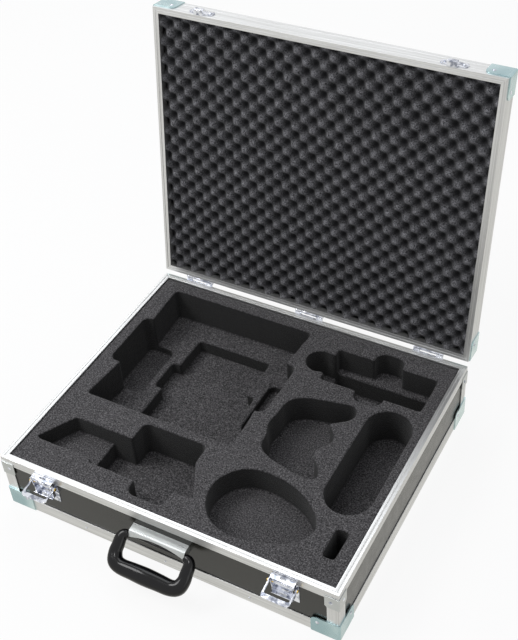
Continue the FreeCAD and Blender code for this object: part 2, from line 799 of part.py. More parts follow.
def make_keepers():
    """On the lid's front face, a plate with two screwed ears and a hook pressed out between."""
    for side, centre in (("left", "-latch_offset"), ("right", "latch_offset")):
        shift = Placement(Vector(size(centre), 0, 0), Rotation())
        body = new_body(f"keeper_{side}", LID_FRAME.multiply(side_place("front")).multiply(shift))
        plate = new_sketch(body, "XZ_Plane")
        half = "keeper_width / 2"
        draw_box(plate, f"-{half}", "keeper_low", half, "keeper_high")
        pad(body, plate, "keeper_sheet")
        round_edges(body, lying_at(x=half, z="keeper_low"), "keeper_ear_round")
        round_edges(body, lying_at(x=half, z="keeper_high"), "keeper_ear_round")
        hook = new_sketch(body, "YZ_Plane")
        draw_outline(hook, [
            ("0", "0"), ("0", "keeper_high"),
            ("-keeper_sheet", "keeper_high"), ("-keeper_sheet", "keeper_sheet"),
            ("-keeper_hook_out + keeper_sheet", "keeper_sheet"),
            ("-keeper_hook_out + keeper_sheet", "keeper_hook_rise"),
            ("-keeper_hook_out", "keeper_hook_rise"), ("-keeper_hook_out", "keeper_sheet"),
            ("-keeper_hook_out + keeper_sheet", "0"),
        ])
        pad(body, hook, "keeper_hook_width", both=True)
        holes = new_sketch(body, "XZ_Plane")
        for sign in ("", "-"):
            draw_circle(holes, f"{sign}({half} - keeper_screw_inset)", "(keeper_low + keeper_high) / 2",
                        "main_pin_radius")
        cut(body, holes)


def make_lid_rivets():
    """Rivets through the lid caps' legs, and the keepers' screw heads."""
    heads = []
    for corner in CORNER_TURNS:
        frame = corner_place(corner, "lid_height")
        turn = frame.Rotation
        out = size("cap_sheet")
        low = -size("lid_cap_height - cap_rivet_inset")
        far = size("lid_cap_leg - cap_rivet_inset")
        for spot, outward in ((Vector(far, -out, low), Vector(0, -1, 0)),
                              (Vector(-out, far, low), Vector(-1, 0, 0))):
            heads.append(rivet(frame.multVec(spot), turn.multVec(outward)))
    face = size("-case_depth / 2 - keeper_sheet")
    inset = size("keeper_width / 2 - keeper_screw_inset")
    for centre in (-size("latch_offset"), size("latch_offset")):
        for across in (-inset, inset):
            spot = Vector(centre + across, face, size("(keeper_low + keeper_high) / 2"))
            heads.append(rivet(spot, Vector(0, -1, 0)))
    solid_node("lid_rivets", Part.makeCompound(heads), LID_FRAME)


def make_hinges():
    """Three butt hinges on the back: leaves on base and lid, and a pin through each barrel."""
    gap = "hinge_knuckle_gap"
    pins = []
    for label, centre in (("left", "-hinge_spacing"), ("middle", "0"), ("right", "hinge_spacing")):
        spot = Placement(HINGE_AXIS + Vector(size(centre), 0, 0), Rotation())
        body = new_body(f"hinge_base_leaf_{label}", spot)
        plate = new_sketch(body, "YZ_Plane")
        face = "-hinge_out"
        draw_box(plate, face, "-hinge_rise - hinge_leaf_height", f"{face} + hinge_leaf_sheet", "-hinge_rise")
        pad(body, plate, "hinge_width", both=True)
        for lift in ("hinge_width / 2 - hinge_knuckle", "-hinge_width / 2"):
            barrel = new_sketch(body, "YZ_Plane", lift)
            draw_circle(barrel, "0", "0", "hinge_barrel")
            pad(body, barrel, "hinge_knuckle")
            neck = new_sketch(body, "YZ_Plane", lift)
            draw_box(neck, f"{face} + panel_clearance", "-hinge_rise - hinge_leaf_sheet",
                     "-hinge_barrel / 2", "0")
            pad(body, neck, "hinge_knuckle")
        bore = new_sketch(body, "YZ_Plane")
        draw_circle(bore, "0", "0", "hinge_pin + pin_clearance")
        cut(body, bore)

        open_spot = Placement(HINGE_AXIS + Vector(size(centre), 0, 0), LID_TURN)
        body = new_body(f"hinge_lid_leaf_{label}", open_spot)
        plate = new_sketch(body, "YZ_Plane")
        start = f"hinge_barrel + {gap}"
        draw_box(plate, face, start, f"{face} + hinge_leaf_sheet", f"{start} + hinge_leaf_height")
        pad(body, plate, "hinge_width", both=True)
        middle = f"hinge_width - 2 * hinge_knuckle - 2 * {gap}"
        barrel = new_sketch(body, "YZ_Plane")
        draw_circle(barrel, "0", "0", "hinge_barrel")
        pad(body, barrel, middle, both=True)
        neck = new_sketch(body, "YZ_Plane")
        draw_box(neck, face, "0", "-hinge_barrel / 2", f"{start} + hinge_leaf_sheet")
        pad(body, neck, middle, both=True)
        bore = new_sketch(body, "YZ_Plane")
        draw_circle(bore, "0", "0", "hinge_pin + pin_clearance")
        cut(body, bore)
        start_at = spot.Base - Vector(size("hinge_width / 2"), 0, 0)
        pins.append(Part.makeCylinder(size("hinge_pin"), size("hinge_width"), start_at, Vector(1, 0, 0)))
    solid_node("hinge_pins", Part.makeCompound(pins))


def make_handle_bracket():
    """The steel cover over the handle's back bar: roof, arched skirt, foot and bored cheeks."""
    body = new_body("handle_bracket", side_place("front"))
    face = PANEL_FACE
    axis_out = "-handle_out"
    front = "-(handle_out + bracket_front)"
    roof = "handle_height + bracket_rise"
    profile = new_sketch(body, "YZ_Plane")
    draw_outline(profile, [
        (face, roof), (front, f"{roof} - bracket_slope"), (front, "handle_height - bracket_drop"),
        (f"{front} + wall", "handle_height - bracket_drop"),
        (f"{front} + wall", f"{roof} - bracket_slope - wall"),
        (f"{face} - wall", f"{roof} - wall"), (f"{face} - wall", f"{roof} - wall - bracket_foot"),
        (face, f"{roof} - wall - bracket_foot"),
    ])
    pad(body, profile, "bracket_width", both=True)
    for lift in ("bracket_width / 2 - wall", "-bracket_width / 2"):
        cheek = new_sketch(body, "YZ_Plane", lift)
        draw_outline(cheek, [
            (face, f"{roof} - wall / 2"), (f"{front} + wall / 2", f"{roof} - bracket_slope - wall / 2"),
            (f"{front} + wall / 2", "handle_height - bracket_drop / 2"),
            (axis_out, "handle_height - bracket_drop"), (face, "handle_height - bracket_drop"),
        ])
        pad(body, cheek, "wall")
    bore = new_sketch(body, "YZ_Plane")
    draw_circle(bore, axis_out, "handle_height", "handle_bar + pin_clearance")
    cut(body, bore)
    make_skirt_arch(body)


def make_skirt_arch(body):
    """Cut the skirt's lower edge to a shallow arch between the two cheeks."""
    arch = new_sketch(body, "XZ_Plane", "handle_out + bracket_front / 2")
    half = "(bracket_width / 2 - 2 * wall)"
    low = "(handle_height - bracket_drop)"
    radius = f"(({half} * {half} + bracket_arch * bracket_arch) / (2 * bracket_arch))"
    centre = Vector(0, size(f"{low} + bracket_arch - {radius}"), 0)
    left = Vector(-size(half), size(low), 0)
    right = Vector(size(half), size(low), 0)
    turn = math.atan2(right.y - centre.y, right.x)
    circle = Part.Circle(centre, Vector(0, 0, 1), size(radius))
    arch.addGeometry(Part.ArcOfCircle(circle, turn, math.pi - turn))
    arch.addGeometry(Part.LineSegment(left, right))
    arch.addConstraint(Sketcher.Constraint("Coincident", 0, 2, 1, 1))
    arch.addConstraint(Sketcher.Constraint("Coincident", 1, 2, 0, 1))
    pin_point(arch, 1, 1, f"-{half}", low)
    pin_point(arch, 1, 2, half, low)
    row = arch.addConstraint(Sketcher.Constraint("Radius", 0, size(radius)))
    bind(arch, f"Constraints[{row}]", radius)
    cut(body, arch, "bracket_front", onward=True)


def bend_through(start, end, along):
    """A quarter turn from start to end that leaves start along one direction."""
    radius = (end - start).dot(along)
    rise = end - start - along * radius
    middle = start + along * (radius * math.sqrt(0.5)) + rise * (1 - math.sqrt(0.5))
    return Part.Arc(start, middle, end).toShape()


def make_handle():
    """A moulded ring round a bar in the bracket: shoulders, two arms and a swollen grip."""
    half = size("(handle_width - handle_arm_width) / 2")
    shoulder = size("handle_shoulder")
    swell = size("handle_grip_swell")
    reach = size("handle_reach") - swell
    bend = size("handle_bend")
    arm = size("handle_arm_width / 2")
    thick = size("handle_arm_thickness / 2")
    end = size("handle_grip_end")
    left = [Vector(shoulder - half, 0, 0), Vector(-half, shoulder, 0),
            Vector(-half, reach - bend, 0), Vector(bend - half, reach, 0)]
    right = [Vector(-point.x, point.y, 0) for point in left]
    across = Vector(1, 0, 0)
    outward = Vector(0, 1, 0)
    spine = Part.Wire([
        bend_through(left[0], left[1], -across), Part.LineSegment(left[1], left[2]).toShape(),
        bend_through(left[2], left[3], outward), Part.LineSegment(left[3], right[3]).toShape(),
        bend_through(right[3], right[2], across), Part.LineSegment(right[2], right[1]).toShape(),
        bend_through(right[1], right[0], -outward),
    ])
    section = Part.Ellipse(left[0] + outward * arm, left[0] + Vector(0, 0, thick), left[0])
    ring = spine.makePipeShell([Part.Wire([section.toShape()])], True, False)
    half_grip = half - bend
    corners = [Vector(half_grip, reach + end, 0), Vector(half_grip, reach, 0),
               Vector(-half_grip, reach, 0), Vector(-half_grip, reach + end, 0)]
    outline = Part.Wire([
        Part.Arc(corners[3], Vector(0, reach + swell, 0), corners[0]).toShape(),
        Part.LineSegment(corners[0], corners[1]).toShape(),
        Part.LineSegment(corners[1], corners[2]).toShape(),
        Part.LineSegment(corners[2], corners[3]).toShape(),
    ])
    grip = Part.Face(outline).revolve(corners[1], across, FULL_TURN)
    bar_half = half - shoulder / 2
    bar = Part.makeCylinder(size("handle_bar"), 2 * bar_half, -across * bar_half, across)
    solid = ring.fuse([grip, bar]).removeSplitter()
    hang = Rotation(across, HALF_TURN + size("handle_rest_angle"))
    spot = Vector(0, -size("case_depth / 2 + handle_out"), size("handle_height"))
    solid_node("handle", solid, Placement(spot, hang))


def latch_frame(centre):
    """The frame of one latch: x along the front, y inwards from the frame's outer face."""
    return side_place("front").multiply(Placement(Vector(size(centre), 0, 0), Rotation()))


def make_latch_plate(side, centre):
    """The latch's fixed part: riveted plate, slotted hood over the rim face, two ears."""
    body = new_body(f"latch_plate_{side}", latch_frame(centre))
    plate = new_sketch(body, "YZ_Plane")
    face = f"{PANEL_FACE} - latch_plate_sheet"
    foot = f"{RIM_FOOT} - latch_plate_drop"
    seam = f"{RIM_FOOT} - hood_standoff"
    draw_box(plate, face, foot, PANEL_FACE, seam)
    pad(body, plate, "latch_plate_width", both=True)
    hood = new_sketch(body, "YZ_Plane")
    top = f"{RIM_FOOT} + hood_rise"
    inner = "-(hood_standoff + hood_sheet)"
    draw_outline(hood, [
        (PANEL_FACE, seam), ("-hood_standoff", seam), ("-hood_standoff", top), ("-hood_reach", top),
        ("-hood_reach", f"{top} - hood_sheet"), (inner, f"{top} - hood_sheet"),
        (inner, f"{RIM_FOOT} - hood_lap"), (PANEL_FACE, f"{RIM_FOOT} - hood_lap"),
    ])
    pad(body, hood, "latch_body_width", both=True)
    round_edges(body, lying_at(x=LATCH_HALF, y="hood_reach"), "hood_corner")
    for lift in (EAR_INNER, f"-{LATCH_HALF}"):
        ear = new_sketch(body, "YZ_Plane", lift)
        draw_circle(ear, "-main_pin_out", MAIN_PIN_HEIGHT, "ear_radius")
        pad(body, ear, "ear_sheet")
        web = new_sketch(body, "YZ_Plane", lift)
        draw_box(web, "-(main_pin_out + ear_radius)", MAIN_PIN_HEIGHT,
                 "-hood_standoff", f"{top} - hood_sheet / 2")
        pad(body, web, "ear_sheet")
    bore = new_sketch(body, "YZ_Plane")
    draw_circle(bore, "-main_pin_out", MAIN_PIN_HEIGHT, "main_pin_radius + pin_clearance")
    cut(body, bore)
    slot = new_sketch(body, "XY_Plane", top)
    draw_stadium(slot, "0", "-hood_reach / 2", "slot_length", "slot_width")
    cut(body, slot, "2 * hood_sheet")
    start = Vector(-size(LATCH_HALF), -size("main_pin_out"), size(MAIN_PIN_HEIGHT))
    pin = Part.makeCylinder(size("main_pin_radius"), size("latch_body_width"), start, Vector(1, 0, 0))
    solid_node(f"latch_pin_{side}", pin, latch_frame(centre))


def make_latch_lever(side, centre):
    """The lever: a channel open to the front, pivoted in the ears, with a slotted lip."""
    body = new_body(f"latch_lever_{side}", latch_frame(centre))
    web = new_sketch(body, "YZ_Plane")
    foot = f"{RIM_FOOT} - lever_drop"
    shoulder = f"{MAIN_PIN_HEIGHT} - ear_radius - lever_sheet"
    back = "-lever_back"
    draw_outline(web, [
        (back, foot), (back, shoulder), (f"{back} - lever_sheet", shoulder),
        (f"{back} - lever_sheet", f"{foot} + lever_sheet"), ("-lever_lip", f"{foot} + lever_sheet"),
        ("-lever_lip", foot),
    ])
    pad(body, web, f"2 * {LEVER_HALF}", both=True)
    for lift in (f"{LEVER_HALF} - lever_sheet", f"-{LEVER_HALF}"):
        flange = new_sketch(body, "YZ_Plane", lift)
        draw_outline(flange, [
            (back, foot), (back, MAIN_PIN_HEIGHT),
            ("-main_pin_out + lever_brow / 2", f"{MAIN_PIN_HEIGHT} + lever_brow"),
            ("-main_pin_out - lever_brow / 2", f"{MAIN_PIN_HEIGHT} + lever_brow"),
            ("-main_pin_out - lever_brow", MAIN_PIN_HEIGHT), ("-lever_toe", f"{foot} + lever_toe_rise"),
            ("-lever_toe", foot),
        ])
        pad(body, flange, "lever_sheet")
    bores = new_sketch(body, "YZ_Plane")
    draw_circle(bores, "-main_pin_out", MAIN_PIN_HEIGHT, "main_pin_radius + pin_clearance")
    draw_circle(bores, "-bail_pin_out", BAIL_PIN_HEIGHT, "bail_pin_radius + pin_clearance")
    cut(body, bores)
    slot = new_sketch(body, "XY_Plane", f"{foot} + lever_sheet")
    draw_stadium(slot, "0", "-(lever_lip + lever_back + lever_sheet) / 2", "slot_length", "slot_width")
    cut(body, slot, "2 * lever_sheet")


def make_latch_bail(side, centre):
    """The bail: a flat loop with a broad end band, on two headed pins through the lever."""
    droop = Rotation(Vector(1, 0, 0), size("bail_droop"))
    pivot = Vector(0, -size("bail_pin_out"), size(BAIL_PIN_HEIGHT))
    frame = latch_frame(centre).multiply(Placement(pivot, droop))
    body = new_body(f"latch_bail_{side}", frame)
    plan = new_sketch(body, "XY_Plane")
    wide = f"({BAIL_INNER} + bail_arm)"
    draw_outline(plan, [
        (f"-{wide}", "0"), (f"-{wide}", "-bail_reach"), (wide, "-bail_reach"), (wide, "0"),
        (BAIL_INNER, "0"), (BAIL_INNER, "-bail_reach + bail_band"),
        (f"-{BAIL_INNER}", "-bail_reach + bail_band"), (f"-{BAIL_INNER}", "0"),
    ])
    pad(body, plan, "bail_thickness", both=True)
    round_edges(body, lying_at(x=wide, y="bail_reach"), "bail_corner")
    round_edges(body, lying_at(x=BAIL_INNER, y="bail_reach - bail_band"), "bail_inner_corner")
    for lift in (BAIL_INNER, f"-{wide}"):
        eye = new_sketch(body, "YZ_Plane", lift)
        draw_circle(eye, "0", "0", "bail_eye")
        pad(body, eye, "bail_arm")
    bore = new_sketch(body, "YZ_Plane")
    draw_circle(bore, "0", "0", "bail_pin_radius + pin_clearance")
    cut(body, bore)
    pins = []
    inner = size(f"{LEVER_HALF} - 2 * lever_sheet")
    outer = size(wide)
    head = size("bail_pin_head_length")
    for sign in (-1, 1):
        along = Vector(sign, 0, 0)
        shank = Part.makeCylinder(size("bail_pin_radius"), outer - inner, along * inner, along)
        cap = Part.makeCylinder(size("bail_pin_head"), head, along * outer, along)
        pins.append(shank.fuse(cap).removeSplitter())
    solid_node(f"bail_pins_{side}", Part.makeCompound(pins), frame)


def make_latches():
    """A draw latch to each side of the handle."""
    for side, centre in (("left", "-latch_offset"), ("right", "latch_offset")):
        make_latch_plate(side, centre)
        make_latch_lever(side, centre)
        make_latch_bail(side, centre)


make_base_panels()
make_base_frame()
make_corner_caps()
make_rim_braces()
make_base_rivets()
make_base_foam()
make_lid_shell()
make_lid_foam()
make_keepers()
make_lid_rivets()
make_hinges()
make_handle_bracket()
make_handle()
make_latches()

# The frame's origin is the middle of everything's footprint, so that the case rests centred on it.
doc.recompute()
spans = [node.Shape.optimalBoundingBox(False) for node in nodes]
footprint_middle = (min(span.YMin for span in spans) + max(span.YMax for span in spans)) / 2
for node in nodes:
    node.Placement = Placement(Vector(0, -footprint_middle, 0), Rotation()).multiply(node.Placement)

doc.recompute()
for thing in doc.Objects:
    if "Invalid" in thing.State or "Error" in thing.State:
        raise ValueError(f"{thing.Label} did not recompute")
for node in nodes:
    if node.Shape.isNull() or not node.Shape.isValid() or not node.Shape.Solids:
        raise ValueError(f"{node.Label} has no valid solid")

os.makedirs("parts", exist_ok=True)
for node in nodes:
    node.Shape.exportStep(f"parts/{node.Label}.step")
print(len(nodes), "sub-parts written")
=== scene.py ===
import math

import bpy
import numpy as np
from mathutils import Matrix, Vector, noise


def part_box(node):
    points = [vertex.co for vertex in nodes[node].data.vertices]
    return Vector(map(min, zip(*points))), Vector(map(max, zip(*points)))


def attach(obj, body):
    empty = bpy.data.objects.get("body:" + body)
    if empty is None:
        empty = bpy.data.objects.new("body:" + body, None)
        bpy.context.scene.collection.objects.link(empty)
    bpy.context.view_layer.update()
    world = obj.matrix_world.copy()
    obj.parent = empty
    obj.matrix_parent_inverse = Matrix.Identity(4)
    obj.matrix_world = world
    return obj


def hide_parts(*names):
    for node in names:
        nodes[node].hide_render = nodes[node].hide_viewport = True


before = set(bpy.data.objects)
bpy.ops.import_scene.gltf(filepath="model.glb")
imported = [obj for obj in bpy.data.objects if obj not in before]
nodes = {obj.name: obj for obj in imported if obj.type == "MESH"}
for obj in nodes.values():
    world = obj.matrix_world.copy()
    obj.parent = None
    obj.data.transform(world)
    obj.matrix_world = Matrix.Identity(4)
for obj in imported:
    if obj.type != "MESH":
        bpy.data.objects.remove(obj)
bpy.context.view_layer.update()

MM = 0.001
COLOUR_A, COLOUR_B, COLOUR_OUT = 6, 7, 2

# Main sizes of the case, the same as the solids', in metres.
CASE_WIDTH = 600 * MM
CASE_DEPTH = 508 * MM
BASE_HEIGHT = 113 * MM
RIM_WIDTH = 10.4 * MM
RIM_GAP = 0.5 * MM
LID_OPEN_ANGLE = 97
MIDDLE = sum(corner[1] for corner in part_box("bottom_panel")) / 2
FRONT = MIDDLE - CASE_DEPTH / 2
HINGE_OUT, HINGE_UP = 4.4 * MM, 4.9 * MM
HINGE_AXIS = Vector((0, MIDDLE + CASE_DEPTH / 2 + HINGE_OUT, BASE_HEIGHT + HINGE_UP))
LID_FRAME = (Matrix.Translation(HINGE_AXIS) @ Matrix.Rotation(math.radians(-LID_OPEN_ANGLE), 4, "X")
             @ Matrix.Translation(-HINGE_AXIS) @ Matrix.Translation((0, MIDDLE, BASE_HEIGHT + RIM_GAP)))


class Shader:
    """A material whose nodes are added and wired with short calls."""

    def __init__(self, name, **constants):
        self.material = bpy.data.materials.new(name)
        self.material.use_nodes = True
        self.tree = self.material.node_tree
        self.surface = self.tree.nodes["Principled BSDF"]
        for socket, value in constants.items():
            self.surface.inputs[socket.replace("_", " ")].default_value = value
        self.place = self.node("ShaderNodeTexCoord").outputs["Object"]

    def node(self, kind, **settings):
        made = self.tree.nodes.new(kind)
        for key, value in settings.items():
            setattr(made, key, value)
        return made

    def wire(self, source, target):
        self.tree.links.new(source, target)

    def stretched(self, scale, turn=0):
        """The place on the piece, turned back about the row's x axis and stretched along each axis."""
        made = self.node("ShaderNodeMapping", vector_type="TEXTURE")
        made.inputs["Rotation"].default_value = (turn, 0, 0)
        made.inputs["Scale"].default_value = [1 / share for share in scale]
        self.wire(self.place, made.inputs["Vector"])
        return made.outputs["Vector"]

    def noise(self, scale, detail=3, roughness=0.5, vector=None):
        """Cloudy grey from 0 to 1."""
        made = self.node("ShaderNodeTexNoise")
        made.inputs["Scale"].default_value = scale
        made.inputs["Detail"].default_value = detail
        made.inputs["Roughness"].default_value = roughness
        self.wire(vector or self.place, made.inputs["Vector"])
        return made.outputs["Fac"]

    def cells(self, scale):
        """Distance within a cell pattern."""
        made = self.node("ShaderNodeTexVoronoi")
        made.inputs["Scale"].default_value = scale
        self.wire(self.place, made.inputs["Vector"])
        return made.outputs["Distance"]

    def spread(self, value, low, high, to_low=0.0, to_high=1.0):
        """One range of values carried on to another."""
        made = self.node("ShaderNodeMapRange")
        sockets = ("From Min", "From Max", "To Min", "To Max")
        for socket, number in zip(sockets, (low, high, to_low, to_high)):
            made.inputs[socket].default_value = number
        self.wire(value, made.inputs["Value"])
        return made.outputs["Result"]

    def mix(self, share, first, second):
        """A colour between two others, each a colour or a socket."""
        made = self.node("ShaderNodeMix", data_type="RGBA")
        self.wire(share, made.inputs["Factor"])
        for socket, colour in ((made.inputs[COLOUR_A], first), (made.inputs[COLOUR_B], second)):
            if isinstance(colour, tuple):
                socket.default_value = (*colour, 1)
            else:
                self.wire(colour, socket)
        return made.outputs[COLOUR_OUT]

    def bump(self, height, strength, distance, under=None):
        """Relief from a height, over other relief if there is any."""
        made = self.node("ShaderNodeBump")
        made.inputs["Strength"].default_value = strength
        made.inputs["Distance"].default_value = distance
        self.wire(height, made.inputs["Height"])
        if under:
            self.wire(under, made.inputs["Normal"])
        return made.outputs["Normal"]

    def facing(self, axis):
        """How far the surface faces along one of the row's axes, from -1 to 1."""
        parts = self.node("ShaderNodeSeparateXYZ")
        self.wire(self.node("ShaderNodeNewGeometry").outputs["Normal"], parts.inputs[0])
        return parts.outputs[axis]

    def paint(self, colour=None, roughness=None, normal=None):
        """Wire what varies to the surface."""
        for socket, source in (("Base Color", colour), ("Roughness", roughness), ("Normal", normal)):
            if source:
                self.wire(source, self.surface.inputs[socket])
        return self.material


def aluminium(name, along, turn=0):
    """Drawn and anodised aluminium, with fine lines along the profile, which may be turned about x."""
    made = Shader(name, Metallic=1.0)
    scale = [420, 420, 420]
    scale["xyz".index(along)] = 4
    lines = made.noise(1, 4, 0.6, made.stretched(scale, turn))
    clouds = made.noise(14, 3)
    pale = made.mix(clouds, (0.61, 0.615, 0.615), (0.69, 0.695, 0.70))
    colour = made.mix(made.spread(lines, 0.45, 0.70), pale, (0.48, 0.48, 0.475))
    rough = made.spread(lines, 0.3, 0.7, 0.36, 0.50)
    return made.paint(colour, rough, made.bump(lines, 0.16, 0.0004))


def zinc():
    """Blue passivated zinc plate with its cloudy sheen and faint scuffs."""
    made = Shader("zinc_plate", Metallic=1.0)
    clouds = made.noise(38, 4, 0.6)
    tint = made.noise(9, 2)
    pale = made.mix(made.spread(clouds, 0.35, 0.65), (0.42, 0.56, 0.58), (0.60, 0.73, 0.74))
    colour = made.mix(made.spread(tint, 0.45, 0.65), pale, (0.31, 0.44, 0.47))
    rough = made.spread(made.noise(120, 4), 0.3, 0.7, 0.14, 0.30)
    return made.paint(colour, rough, made.bump(made.noise(220, 3), 0.10, 0.0004))


def laminate():
    """Dark laminated board with a fine pebbled face."""
    made = Shader("dark_laminate", Specular_IOR_Level=0.36)
    grain = made.cells(900)
    clouds = made.noise(6, 4)
    colour = made.mix(clouds, (0.007, 0.007, 0.0045), (0.013, 0.013, 0.009))
    rough = made.spread(made.noise(60, 3), 0.3, 0.7, 0.18, 0.27)
    return made.paint(colour, rough, made.bump(grain, 0.16, 0.0003))


def foam(name, face, deep, speck, level):
    """Open-celled foam: fine cells, paler flecks, and painted shade in its deep colour wherever its level
    is low.
    """
    made = Shader(name, Roughness=0.95, Specular_IOR_Level=0.12, Sheen_Weight=0.12, Sheen_Roughness=0.6)
    cells = made.cells(480)
    grain = made.noise(420, 3, 0.75)
    clouds = made.noise(11, 4)
    base = made.mix(made.spread(clouds, 0.3, 0.7), tuple(0.86 * c for c in face), face)
    flecked = made.mix(made.spread(grain, 0.50, 0.66), base, speck)
    pitted = made.mix(made.spread(grain, 0.34, 0.50), deep, flecked)
    # Painted shade: where the level mask is low, on cut walls or in pits, the colour goes to the deep shade
    # colour.
    colour = made.mix(level(made), deep, pitted)
    relief = made.bump(cells, 0.5, 0.0012, made.bump(grain, 0.7, 0.0012))
    return made.paint(colour, None, relief)


def chrome():
    """Bright nickel plate, with dark patches painted into its colour as reflections of dark surroundings.
    """
    made = Shader("bright_nickel", Metallic=1.0)
    # Painted reflection: cloudy patches darken the base colour to stand for dark surroundings mirrored in
    # the plate.
    painted_dark_reflection = made.spread(made.noise(110, 2), 0.36, 0.56)
    colour = made.mix(painted_dark_reflection, (0.26, 0.28, 0.34), (0.74, 0.76, 0.82))
    rough = made.spread(made.noise(160, 4), 0.3, 0.7, 0.05, 0.12)
    return made.paint(colour, rough, made.bump(made.noise(90, 2), 0.25, 0.0008))


def brass():
    """Yellow plated pins."""
    made = Shader("yellow_plate", Metallic=1.0)
    colour = made.mix(made.noise(200, 3), (0.72, 0.46, 0.10), (0.82, 0.60, 0.20))
    return made.paint(colour, made.spread(made.noise(300, 3), 0.3, 0.7, 0.16, 0.30))


def steel():
    """Satin zinc-plated sheet steel."""
    made = Shader("satin_steel", Metallic=1.0)
    lines = made.noise(1, 4, 0.6, made.stretched((20, 500, 500)))
    colour = made.mix(made.noise(40, 3), (0.42, 0.44, 0.44), (0.54, 0.56, 0.56))
    return made.paint(colour, made.spread(lines, 0.3, 0.7, 0.24, 0.40), made.bump(lines, 0.1, 0.0004))


def black_plastic():
    """Glossy black moulded plastic with a slight orange peel."""
    made = Shader("gloss_plastic", Specular_IOR_Level=0.28)
    colour = made.mix(made.noise(20, 3), (0.002, 0.002, 0.0025), (0.006, 0.006, 0.007))
    rough = made.spread(made.noise(90, 4), 0.3, 0.7, 0.08, 0.18)
    return made.paint(colour, rough, made.bump(made.noise(150, 2), 0.10, 0.0004))


def painted_wall_shade(shader):
    """Painted shade on the cut walls: 1 on the foam's level faces, little on its walls."""
    return shader.spread(shader.facing("Z"), 0.2, 0.9, 0.07, 1.0)


def painted_pit_shade(shader):
    """Painted shade in the pits: 1 on the peaks of the lid's foam, down to little in its pits."""
    turned = shader.node("ShaderNodeVectorMath", operation="DOT_PRODUCT")
    shader.wire(shader.place, turned.inputs[0])
    inward = LID_FRAME.to_3x3() @ Vector((0, 0, 1))
    turned.inputs[1].default_value = inward
    start = inward.dot(LID_FRAME.translation)
    low, high = start + CRATE_VALLEY - 1 * MM, start + CRATE_PEAK + 2 * MM
    rise = shader.spread(turned.outputs["Value"], low, high, 0.02, 1.0)
    sharpened = shader.node("ShaderNodeMath", operation="POWER")
    sharpened.inputs[1].default_value = 1.7
    shader.wire(rise, sharpened.inputs[0])
    return sharpened.outputs[0]


CRATE_COLUMNS, CRATE_ROWS = 37, 30
CRATE_STEPS = 6
CRATE_FIT = 0.6 * MM
CRATE_WAVES, CRATE_SWAY = 60, 0.8 * MM
CRATE_PEAK, CRATE_VALLEY, CRATE_BACK = 2 * MM, 17 * MM, 32.2 * MM
# The colours of each foam: its face, its depths (the painted shade of its walls and pits, also its dark
# pores) and its flecks.
BASE_FOAM_COLOURS = (0.072, 0.069, 0.073), (0.007, 0.007, 0.007), (0.20, 0.195, 0.20)
LID_FOAM_COLOURS = (0.150, 0.149, 0.160), (0.008, 0.008, 0.009), (0.27, 0.27, 0.285)
materials = {
    "x": aluminium("aluminium_across", "x"),
    "y": aluminium("aluminium_deep", "y"),
    "z": aluminium("aluminium_upright", "z"),
    "lid": aluminium("aluminium_lid_sides", "y", math.radians(-LID_OPEN_ANGLE)),
    "zinc": zinc(),
    "panel": laminate(),
    "base_foam": foam("base_foam", *BASE_FOAM_COLOURS, painted_wall_shade),
    "lid_foam": foam("lid_foam", *LID_FOAM_COLOURS, painted_pit_shade),
    "chrome": chrome(),
    "brass": brass(),
    "bracket": steel(),
    "handle": black_plastic(),
}


def give(obj, material):
    """One material over the whole piece."""
    obj.data.materials.clear()
    obj.data.materials.append(material)


def material_for(name):
    """The material of a CAD node, by its name."""
    if "panel" in name:
        return "panel"
    if "cap_" in name:
        return "zinc"
    if name == "handle":
        return "handle"
    if name in ("handle_bracket", "rim_braces"):
        return "bracket"
    if name.startswith("bail_pins"):
        return "brass"
    if name.endswith("post"):
        return "z"
    if name in ("lid_left_rail", "lid_right_rail"):
        return "lid"
    if name.endswith(("_rim", "_rail", "_angle")):
        return "x" if "front" in name or "back" in name else "y"
    return "chrome"


WELD_DISTANCE = 1e-6
BEVEL_WIDTH, BEVEL_ANGLE = 0.25 * MM, math.radians(35)
for name, node in nodes.items():
    if "foam" in name:
        continue
    give(node, materials[material_for(name)])
    weld = node.modifiers.new("weld", "WELD")
    weld.merge_threshold = WELD_DISTANCE
    bevel = node.modifiers.new("bevel", "BEVEL")
    bevel.width = BEVEL_WIDTH
    bevel.segments = 2
    bevel.limit_method = "ANGLE"
    bevel.angle_limit = BEVEL_ANGLE


def new_piece(name, verts, faces, material, body):
    """A mesh piece riding on a CAD body."""
    mesh = bpy.data.meshes.new(name)
    mesh.from_pydata(verts, [], faces)
    mesh.update()
    made = bpy.data.objects.new(name, mesh)
    bpy.context.scene.collection.objects.link(made)
    give(made, material)
    mesh.polygons.foreach_set("use_smooth", [True] * len(mesh.polygons))
    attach(made, body)
    return made


SLOW_WAVES, QUICK_WAVES, QUICK_SHARE = 22, 90, 0.4
FOAM_SWAY = 0.5 * MM


def sway(places, strength):
    """A slow and a quick waviness for every point of a foam surface."""
    slow = np.array([noise.noise(Vector(at) * SLOW_WAVES) for at in places])
    quick = np.array([noise.noise(Vector(at) * QUICK_WAVES) for at in places])
    return strength * (slow + QUICK_SHARE * quick)


